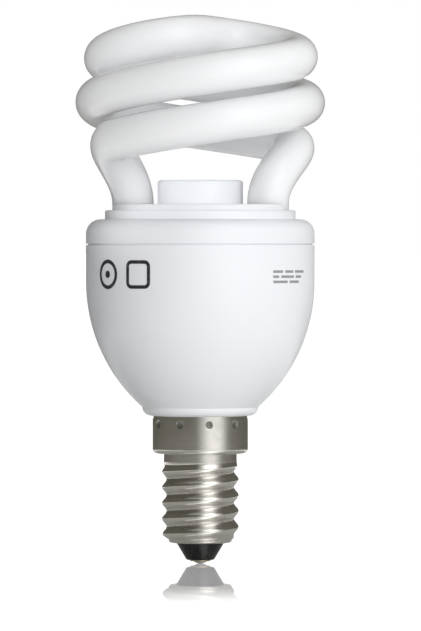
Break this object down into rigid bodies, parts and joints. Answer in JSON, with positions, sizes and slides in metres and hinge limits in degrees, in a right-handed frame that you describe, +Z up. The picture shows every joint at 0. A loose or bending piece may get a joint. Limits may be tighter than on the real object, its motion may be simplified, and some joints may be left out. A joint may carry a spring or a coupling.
{
  "type": "energy saving bulb",
  "caption": "Compact fluorescent lamp: a white double-spiral glass tube on a white plastic ballast housing with a small metal screw cap and a centre contact.",
  "frame": {"origin": "the bottom of the centre contact, on the lamp's axis", "axes": "+Z up the lamp's axis from the cap to the spiral; X along the line of the tube's two legs; -Y is the front, the side the picture shows"},
  "size_m": [0.0444, 0.0444, 0.0979],
  "materials": {
    "coated_glass": "milky white glass tube with a powder coat inside, glossy outside",
    "white_plastic": "white moulded plastic, satin",
    "cap_metal": "nickel-plated sheet, bright but not mirror smooth",
    "black_glass": "black cast insulating glass, glossy",
    "contact_brass": "plain brass, slightly dull",
    "solder": "tin solder, dull",
    "cement": "dried lamp cement, chalky",
    "board_laminate": "brown paper laminate",
    "dark_sleeve": "dark plastic sleeve on a can",
    "ferrite": "sintered ferrite, matt",
    "bobbin_plastic": "moulded plastic",
    "enamelled_wire": "enamelled copper wire",
    "film_coat": "dipped resin coat",
    "black_moulding": "moulded resin",
    "resistor_coat": "lacquered body on a tinned wire",
    "lead_insulation": "thin plastic insulation",
    "tinned_wire": "tinned wire"
  },
  "bodies": {
    "root": {"ballast_housing": "white_plastic", "blocking_capacitor": "film_coat", "cap_insulator": "black_glass", "choke_bobbin": "bobbin_plastic", "choke_core": "ferrite", "choke_pins": "tinned_wire", "choke_winding": "enamelled_wire", "circuit_board": "board_laminate", "contact_plate": "contact_brass", "contact_solder": "solder", "diode_1": "black_moulding", "diode_2": "black_moulding", "diode_3": "black_moulding", "diode_4": "black_moulding", "discharge_tube": "coated_glass", "drive_ring": "ferrite", "drive_winding": "enamelled_wire", "filament_lead_1": "tinned_wire", "filament_lead_2": "tinned_wire", "filament_lead_3": "tinned_wire", "filament_lead_4": "tinned_wire", "fuse_resistor": "resistor_coat", "neutral_lead": "lead_insulation", "resistor_1": "resistor_coat", "resistor_2": "resistor_coat", "screw_shell": "cap_metal", "smoothing_capacitor": "dark_sleeve", "starting_capacitor": "film_coat", "transistor_1": "black_moulding", "transistor_2": "black_moulding", "tube_cement": "cement", "tube_cover": "white_plastic", "wrap_pin_1": "tinned_wire", "wrap_pin_2": "tinned_wire", "wrap_pin_3": "tinned_wire", "wrap_pin_4": "tinned_wire"}
  },
  "joints": []
}
